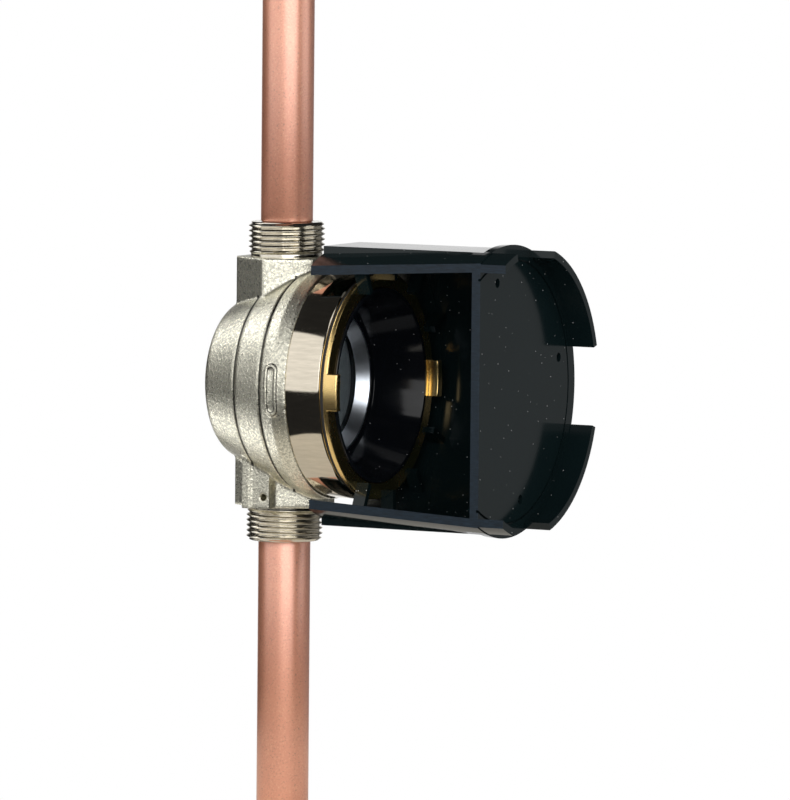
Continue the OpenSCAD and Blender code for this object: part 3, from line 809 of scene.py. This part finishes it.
@dataclass
class CastBody:
    """The casting between the pipes, with its turned mouth and threaded nipples."""

    boss_end: float = 43 * MM
    nipple_end: float = 55 * MM
    socket_r: float = 8.6 * MM
    waterway_r: float = 5.76 * MM
    waterway_back: float = 2.43 * MM
    shoulder: float = 40.2 * MM
    bores: tuple = ((25.5 * MM, -14.0 * MM), (33.0 * MM, 4.0 * MM), (36.0 * MM, 20.0 * MM))
    bore_steps: int = 128
    port_steps: int = 64
    spare: float = 1 * MM

    core_overlap: float = 0.3 * MM
    core_steps: int = 96
    trim_half: float = 60 * MM
    trim_back: float = 30 * MM
    voxel: float = 0.5 * MM
    smoothing: int = 5
    cast_sharp: float = math.radians(50)

    band_back: float = 21.0 * MM
    mouth_front: float = 34.2 * MM
    band_r: float = 39.4 * MM
    band_chamfer: tuple = (0.7 * MM, 0.5 * MM)
    band_edge: float = 0.12 * MM
    band_steps: int = 256

    cast_r: float = 39.9 * MM
    bead_mm: tuple = ((-0.45, -0.3), (-0.42, 0.2), (-0.22, 0.46), (0.22, 0.46), (0.42, 0.2), (0.45, -0.3))
    oval_steps: int = 24

    thread_r: float = 13.2 * MM
    thread_pitch: float = 1.814 * MM
    thread_depth: float = 1.05 * MM
    thread_flank: float = 2.6
    thread_crest: float = 0.15
    thread_sharp: float = math.radians(60)
    runout_start: float = 0.9 * MM
    runout_length: float = 1.2 * MM
    runout_share: float = 0.75
    chamfer_depth: float = 1.1 * MM
    chamfer_slope: float = 1.1
    socket_edge: float = 0.25 * MM
    thread_around: int = 144
    thread_along: int = 84

    def bore_profile(self, grow: float) -> Profile:
        """The stepped bore as a closed profile.

        Args:
            grow: length added on all sides.

        Returns:
            (radius, height) corners, heights towards the mouth.
        """
        profile: Profile = [(0.0, self.bores[0][1] - grow)]
        for r, low in self.bores:
            deeper = [step for _, step in self.bores if step > low]
            high = deeper[0] - grow if deeper else self.mouth_front + grow
            profile += [(r + grow, low - grow), (r + grow, high)]
        return profile + [(0.0, self.mouth_front + grow)]

    def shell(self) -> None:
        """The cast skin: the CAD solid without its bores, softened, then bored again."""
        obj = new_object("casting", plain_mesh("meter_body"))
        core = self.bore_profile(self.core_overlap)
        carve(obj, revolved("core", core, BOWL_FRAME, self.core_steps), "UNION")
        reach = self.boss_end + self.spare
        fill_r = self.socket_r + self.core_overlap
        fill: Profile = [(0, -reach), (fill_r, -reach), (fill_r, reach), (0, reach)]
        carve(obj, revolved("fill", fill, PIPE_FRAME, self.port_steps), "UNION")
        low = CENTRE + Vector((-self.trim_half, -self.band_back, -self.boss_end))
        high = CENTRE + Vector((self.trim_half, self.trim_back, self.boss_end))
        carve(obj, slab("trim", low, high), "INTERSECT")
        remesh = obj.modifiers.new("skin", "REMESH")
        remesh.mode = "VOXEL"
        remesh.voxel_size = self.voxel
        smooth = obj.modifiers.new("soft", "SMOOTH")
        smooth.factor = 0.5
        smooth.iterations = self.smoothing
        settle(obj)
        carve(obj, revolved("bore", self.bore_profile(0.0), BOWL_FRAME, self.bore_steps), "DIFFERENCE")
        for side in (-1, 1):
            carve(obj, self.port_bore(side), "DIFFERENCE")
        obj.data.shade_smooth()
        obj.data.set_sharp_from_angle(angle=self.cast_sharp)
        adopt(obj, METER, "meter_body", Look.CAST)

    def port_bore(self, side: int) -> bpy.types.Object:
        """Socket and waterway of one port as a cutting tool.

        Args:
            side: 1 for the upper port, -1 for the lower.

        Returns:
            The tool.
        """
        end = self.nipple_end + self.spare
        meet = self.shoulder + self.spare
        socket: Profile = [(0, self.shoulder), (self.socket_r, self.shoulder), (self.socket_r, end), (0, end)]
        way: Profile = [(0, 0), (self.waterway_r, 0), (self.waterway_r, meet), (0, meet)]
        turn = Matrix.Rotation(0 if side > 0 else math.pi, 4, "X")
        tool = revolved("socket", socket, PIPE_FRAME @ turn, self.port_steps)
        shifted = Matrix.Translation((0, self.waterway_back, 0))
        carve(tool, revolved("way", way, PIPE_FRAME @ shifted @ turn, self.port_steps), "UNION")
        return tool

    def band(self) -> None:
        """The turned band at the mouth."""
        inner = self.bores[-1][0]
        inward, along = self.band_chamfer
        profile = eased([(inner, self.band_back), (self.band_r, self.band_back),
                         (self.band_r, self.mouth_front - along),
                         (self.band_r - inward, self.mouth_front), (inner, self.mouth_front)], self.band_edge)
        obj = revolved("turned_band", profile, BOWL_FRAME, self.band_steps)
        adopt(obj, METER, "meter_body", Look.TURNED)

    def oval_path(self) -> list[tuple[float, float, float]]:
        """The oval's middle line.

        Returns:
            Place across, place along and angle of the outward side, for each point.
        """
        half = OVAL_WIDTH / 2
        path = []
        for end in (0, 1):
            lift = OVAL_STRAIGHT if end == 0 else -OVAL_STRAIGHT
            for step in range(self.oval_steps + 1):
                angle = math.pi * (end + step / self.oval_steps)
                path.append((half * math.cos(angle), lift + half * math.sin(angle), angle))
            for step in range(1, self.oval_steps):
                angle = math.pi * (end + 1)
                path.append((half * math.cos(angle), lift * (1 - 2 * step / self.oval_steps), angle))
        return path

    def oval(self) -> None:
        """The raised oval on the near side, as a bead that follows the casting."""
        bm = bmesh.new()
        rings = []
        for across, along, angle in self.oval_path():
            spot = Vector((-math.sqrt(self.cast_r ** 2 - along ** 2), -OVAL_FRONT - across, along))
            out = Vector((spot.x, 0, spot.z)).normalized()
            side = Vector((out.z, 0, -out.x)) * math.sin(angle) + Vector((0, -1, 0)) * math.cos(angle)
            rings.append([bm.verts.new(CENTRE + spot + (side * w + out * h) * MM) for w, h in self.bead_mm])
        join_rings(bm, rings)
        adopt(from_bmesh("oval_bead", bm), METER, "meter_body", Look.CAST)

    def thread_radius(self, turn: float, height: float) -> float:
        """Radius of the threaded nipple.

        Args:
            turn: angle around the pipe, in turns.
            height: distance from the boss.

        Returns:
            The radius there, with run-out at the boss and a chamfer at the end.
        """
        length = self.nipple_end - self.boss_end
        phase = (height / self.thread_pitch - turn) % 1.0
        ridge = max(0.0, min(1.0, self.thread_flank * abs(phase - 0.5) - self.thread_crest))
        runout = max(0.0, min(1.0, (height - self.runout_start) / self.runout_length))
        radius = self.thread_r - self.thread_depth * (ridge * runout + (1 - runout) * self.runout_share)
        chamfer = self.thread_r - self.chamfer_depth + (length - height) * self.chamfer_slope
        return min(radius, chamfer)

    def nipple(self, side: int) -> None:
        """One threaded nipple with its socket bore.

        Args:
            side: 1 for the upper nipple, -1 for the lower.
        """
        length = self.nipple_end - self.boss_end
        heights = [length * i / self.thread_along for i in range(self.thread_along + 1)]
        socket: Profile = [(self.socket_r + self.socket_edge, length),
                           (self.socket_r, length - self.socket_edge), (self.socket_r, 0)]
        bm = bmesh.new()
        rings = []
        for step in range(self.thread_around):
            turn = step / self.thread_around
            spoke = Vector((math.cos(2 * math.pi * turn), math.sin(2 * math.pi * turn), 0))
            points = [(self.thread_radius(turn, h), h) for h in heights] + socket
            rings.append([bm.verts.new(CENTRE + spoke * r + Vector((0, 0, side * (self.boss_end + h))))
                          for r, h in points])
        join_rings(bm, rings)
        obj = from_bmesh("upper_nipple" if side > 0 else "lower_nipple", bm)
        obj.data.set_sharp_from_angle(angle=self.thread_sharp)
        adopt(obj, METER, "meter_body", Look.THREAD)

    def build(self) -> None:
        """Make every piece of the body."""
        self.shell()
        self.band()
        self.oval()
        for side in (-1, 1):
            self.nipple(side)


@dataclass
class PipeRun:
    """The two copper pipes."""

    wall: float = 1.0 * MM
    edge: float = 0.25 * MM
    free: float = 94.8 * MM
    sized_step: float = 0.5 * MM
    steps: int = 96

    def build(self) -> None:
        """Make each pipe as a tube with broken edges, drawn in where it enters its socket."""
        for node, way in (("lower_pipe", 1), ("upper_pipe", -1)):
            low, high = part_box(node)
            outer = (high.x - low.x) / 2
            inner = outer - self.wall
            end, seat = (z - CENTRE.z for z in (low.z, high.z)[::way])
            neck = end + way * self.free
            profile = eased([(inner, end), (outer, end), (outer, neck), (outer - self.sized_step, neck),
                             (outer - self.sized_step, seat), (inner - self.sized_step, seat),
                             (inner - self.sized_step, neck), (inner, neck)], self.edge)
            adopt(revolved(node + "_tube", profile, PIPE_FRAME, self.steps), METER, node, Look.COPPER)


@dataclass
class Register:
    """The cup, the window with its bezel, the dial and what turns under it."""

    cup_edge: float = 0.25 * MM
    window_edge: float = 0.15 * MM
    plate_edge: float = 0.1 * MM
    pointer_edge: float = 0.06 * MM
    ink: float = 0.06 * MM
    ticks: int = 10
    tick_r: float = 5.3 * MM
    tick_width: float = 0.2 * MM
    tick_lengths: tuple = (0.9 * MM, 0.5 * MM)
    figure_r: float = 6.7 * MM
    figure_h: float = 1.7 * MM
    figure_steps: int = 3

    def build(self) -> None:
        """Dress the register's pieces and print its scales."""
        plan: list[tuple[str, str, Look, float]] = [
            ("register_cup", METER, Look.BLACK, self.cup_edge),
            ("window", METER, Look.PANE, self.window_edge),
            ("bezel_ring", METER, Look.BEZEL, self.window_edge),
            ("dial", METER, Look.WHITE, self.plate_edge),
            ("register_plate", METER, Look.GREY, self.plate_edge),
            ("litre_pointer", "litre_unit", Look.RED, self.pointer_edge),
            ("cubic_pointer", "cubic_unit", Look.RED, self.pointer_edge),
            ("flow_star", "flow_unit", Look.RED, self.pointer_edge),
        ]
        for node, body, look, edge in plan:
            soft_copy(node, body, look, edge)
        for joint in frame["joints"]:
            if joint["name"] in ("litre_spin", "cubic_spin"):
                self.scale(joint["name"].split("_")[0], Vector(joint["pos_m"]))

    def scale(self, name: str, centre: Vector) -> None:
        """Print a round scale of figures on the dial about a pointer's arbor.

        Args:
            name: name of the counter.
            centre: a point on the arbor.
        """
        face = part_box("dial")[0].y
        bm = bmesh.new()
        for i in range(self.ticks * 2):
            length = self.tick_lengths[i % 2]
            turn = Matrix.Rotation(math.pi * i / self.ticks, 4, "Y")
            for vert in bmesh.ops.create_cube(bm, size=1.0)["verts"]:
                local = Vector((vert.co.x * self.tick_width, vert.co.y * self.ink,
                                self.tick_r + vert.co.z * length))
                vert.co = turn @ local + Vector((centre.x, face, centre.z))
        adopt_print(from_bmesh(name + "_ticks", bm))
        for figure in range(self.ticks):
            angle = 2 * math.pi * figure / self.ticks
            spot = Vector((centre.x + self.figure_r * math.sin(angle), face - self.ink / 2,
                           centre.z + self.figure_r * math.cos(angle)))
            adopt_print(self.figure(f"{name}_figure_{figure}", str(figure), spot))

    def figure(self, name: str, text: str, spot: Vector) -> bpy.types.Object:
        """One printed figure as a thin mesh.

        Args:
            name: name of the piece.
            text: the figure.
            spot: its centre on the dial's face.

        Returns:
            The new object.
        """
        curve = bpy.data.curves.new(name, "FONT")
        curve.body = text
        curve.size = self.figure_h
        curve.align_x = "CENTER"
        curve.align_y = "CENTER"
        curve.extrude = self.ink / 2
        curve.resolution_u = self.figure_steps
        source = bpy.data.objects.new(name + "_curve", curve)
        bpy.context.scene.collection.objects.link(source)
        graph = bpy.context.evaluated_depsgraph_get()
        mesh = bpy.data.meshes.new_from_object(source.evaluated_get(graph))
        bpy.data.objects.remove(source)
        mesh.transform(Matrix.Translation(spot) @ Matrix.Rotation(math.radians(90), 4, "X"))
        return new_object(name, mesh)


def adopt_print(obj: bpy.types.Object) -> None:
    """Let a printed mark ride with the dial.

    Args:
        obj: the mark.
    """
    Look.INK.dress(obj)
    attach(obj, METER)
    LOG.info("print %s on the dial", obj.name)


@dataclass
class InnerWorks:
    """The pieces inside, shown when the meter is taken apart."""

    edge: float = 0.08 * MM

    def build(self) -> None:
        """Dress every inner node."""
        plan: list[tuple[str, str, Look]] = [
            ("inlet_strainer", METER, Look.STEEL), ("measuring_chamber", METER, Look.NATURAL),
            ("pivot_bearing", METER, Look.RUBY), ("chamber_gasket", METER, Look.RUBBER),
            ("pressure_plate", METER, Look.PLATE_BRASS), ("head_gasket", METER, Look.RUBBER),
            ("impeller", "impeller_unit", Look.BLUE), ("impeller_spindle", "impeller_unit", Look.STEEL),
            ("impeller_magnet", "impeller_unit", Look.FERRITE), ("drive_magnet", "drive_unit", Look.FERRITE),
            ("drive_arbor", "drive_unit", Look.STEEL), ("flow_wheel", "flow_unit", Look.GEAR_BRASS),
            ("litre_wheel", "litre_unit", Look.GEAR_BRASS), ("cubic_wheel", "cubic_unit", Look.GEAR_BRASS),
        ]
        for node, body, look in plan:
            soft_copy(node, body, look, self.edge)


@dataclass
class HeadAndCover:
    """The lug ring and the sectioned site cover."""

    ring_edge: float = 0.35 * MM
    cover_edge: float = 0.3 * MM

    def build(self) -> None:
        """Dress the ring and the cover."""
        soft_copy("lug_ring", METER, Look.BRASS, self.ring_edge)
        soft_copy("site_cover", COVER, Look.SAWN, self.cover_edge)


def direction(azimuth: float, elevation: float) -> Vector:
    """Direction from the meter, from angles in radians that start at the bowl's front."""
    level = math.cos(elevation)
    return Vector((math.sin(azimuth) * level, -math.cos(azimuth) * level, math.sin(elevation)))


@dataclass
class PhotoCamera:
    """The photograph's viewpoint, in degrees and metres about the bowl's centre."""

    azimuth: float = -62.365
    elevation: float = 4.656
    roll: float = -0.52
    distance: float = 3.0
    aim_right: float = -37.721 * MM
    aim_down: float = -6.764 * MM
    pixels_per_metre: float = 2898.0
    frame_long_side: float = 800.0
    sensor: float = 36.0
    clip: tuple = (0.01, 20.0)

    def axes(self) -> tuple[Vector, Vector, Vector]:
        """The view's own directions.

        Returns:
            Right, down and forward.
        """
        forward = -direction(math.radians(self.azimuth), math.radians(self.elevation))
        right = forward.cross(Vector((0, 0, 1))).normalized()
        down = forward.cross(right)
        r = math.radians(self.roll)
        return (right * math.cos(r) + down * math.sin(r), down * math.cos(r) - right * math.sin(r), forward)

    def build(self) -> None:
        """Make the camera and hand it to the scene."""
        right, down, forward = self.axes()
        data = bpy.data.cameras.new("photo_camera")
        data.sensor_width = self.sensor
        data.lens = self.pixels_per_metre * self.distance / self.frame_long_side * self.sensor
        data.clip_start, data.clip_end = self.clip
        cam = bpy.data.objects.new("photo_camera", data)
        bpy.context.scene.collection.objects.link(cam)
        spot = CENTRE - forward * self.distance - right * self.aim_right - down * self.aim_down
        turn = Matrix((right, -down, -forward)).transposed().to_4x4()
        cam.matrix_world = Matrix.Translation(spot) @ turn
        bpy.context.scene.camera = cam


@dataclass(frozen=True)
class Panel:
    """A rectangular light: degrees from the viewpoint, distance and size in metres, power in watts."""

    name: str
    sideways: float
    up: float
    distance: float
    size: tuple[float, float]
    power: float

    def build(self, camera: PhotoCamera) -> None:
        """Make the light, turned to the meter's centre.

        Args:
            camera: the viewpoint that it stands around.
        """
        data = bpy.data.lights.new(self.name, "AREA")
        data.shape = "RECTANGLE"
        data.size, data.size_y = self.size
        data.energy = self.power
        light = bpy.data.objects.new(self.name, data)
        light.visible_camera = False
        bpy.context.scene.collection.objects.link(light)
        towards = direction(math.radians(camera.azimuth + self.sideways), math.radians(self.up))
        light.location = CENTRE + towards * self.distance
        light.rotation_mode = "QUATERNION"
        light.rotation_quaternion = (-towards).to_track_quat("-Z", "Y")


@dataclass
class Studio:
    """Soft lights, a dim room and a pale floor."""

    panels: tuple[Panel, ...] = (
        Panel("softbox", -53, 21, 0.95, (1.66, 0.90), 5.1),
        Panel("left_light", -118, 34, 0.95, (0.42, 0.34), 1.5),
        Panel("low_light", -118, -32, 0.95, (0.42, 0.34), 1.2),
        Panel("front_light", 14, 14, 1.3, (1.35, 0.80), 8.5),
        Panel("rim_light", 82, 18, 1.0, (0.70, 0.80), 2.0),
        Panel("plate_light", 125, -5, 1.2, (1.1, 0.8), 0.6),
    )
    fill: float = 0.42
    room: float = 0.02
    behind_ramp: Stops = ((0.90, 0.0), (0.98, 1.0))
    floor_r: float = 0.17
    floor_steps: int = 96
    floor_gap: float = 0.2 * MM
    floor_colour: Colour = (0.78, 0.74, 0.66)
    paper_colour: Colour = (0.97, 0.97, 0.96)
    shadow_lean: float = 0.055
    away_ramp: Stops = ((0.32, 0.0), (0.48, 1.0))

    def build(self, camera: PhotoCamera) -> None:
        """Make lights, world and floor.

        Args:
            camera: the viewpoint that the lights stand around.
        """
        for panel in self.panels:
            panel.build(camera)
        forward = camera.axes()[2]
        self.world(forward)
        self.floor(-forward)

    def world(self, forward: Vector) -> None:
        """A white background, seen by reflections only behind the meter; a dim room elsewhere.

        Args:
            forward: direction of the view.
        """
        world = bpy.data.worlds.new("studio")
        world.use_nodes = True
        bpy.context.scene.world = world
        bench = Bench(world.node_tree)
        ray = bench.add("ShaderNodeLightPath").socket.node
        kinds = ("Is Camera Ray", "Is Transmission Ray", "Is Diffuse Ray", "Is Glossy Ray")
        camera_ray, through_ray, diffuse_ray, glossy_ray = (Sock(bench, ray.outputs[kind]) for kind in kinds)
        outward = bench.add("ShaderNodeTexCoord", output="Generated")
        facing = bench.add("ShaderNodeVectorMath", {"operation": "DOT_PRODUCT"},
                           {0: outward, 1: tuple(forward)}, "Value")
        behind = bench.ramp(facing, *self.behind_ramp)
        level = camera_ray + through_ray + diffuse_ray * self.fill + glossy_ray * (behind + self.room)
        clipped = bench.add("ShaderNodeMath", {"operation": "MINIMUM"}, {0: level, 1: 1.0})
        background = bench.add("ShaderNodeBackground", {}, {"Color": (1, 1, 1, 1), "Strength": clipped})
        bench.add("ShaderNodeOutputWorld", {}, {0: background})

    def floor(self, nearer: Vector) -> None:
        """A round pale floor under the lower pipe, white to the camera away from the shadow.

        Args:
            nearer: direction to the viewpoint, where the shadow lies.
        """
        bm = bmesh.new()
        bmesh.ops.create_circle(bm, cap_ends=True, segments=self.floor_steps, radius=self.floor_r)
        obj = from_bmesh("floor", bm)
        obj.location.z = CAD_BOX[0].z - self.floor_gap
        material = bpy.data.materials.new("floor")
        material.use_nodes = True
        bench = Bench(material.node_tree)
        middle = Vector((nearer.x, nearer.y, 0)) * self.shadow_lean
        reach = bench.add("ShaderNodeVectorMath", {"operation": "DISTANCE"},
                          {0: bench.place(), 1: tuple(middle)}, "Value")
        away = bench.ramp(reach * (1 / self.floor_r), *self.away_ramp)
        ray = bench.add("ShaderNodeLightPath", output="Is Camera Ray")
        paper = bench.tint(ray, self.floor_colour, self.paper_colour)
        pale = bench.add("ShaderNodeBsdfDiffuse", {}, {"Color": paper})
        white = bench.add("ShaderNodeEmission", {}, {"Strength": 1.0})
        mixed = bench.add("ShaderNodeMixShader", {}, {0: ray * away, 1: pale, 2: white})
        bench.add("ShaderNodeOutputMaterial", {}, {0: mixed})
        obj.data.materials.append(material)


def main() -> None:
    """Build the camera, the studio and every piece."""
    logging.basicConfig(level=logging.INFO, format="%(name)s: %(message)s")
    bpy.context.scene.view_settings.view_transform = "Standard"
    camera = PhotoCamera()
    camera.build()
    Studio().build(camera)
    CastBody().build()
    PipeRun().build()
    Register().build()
    InnerWorks().build()
    HeadAndCover().build()


if __name__ == "__main__":
    main()
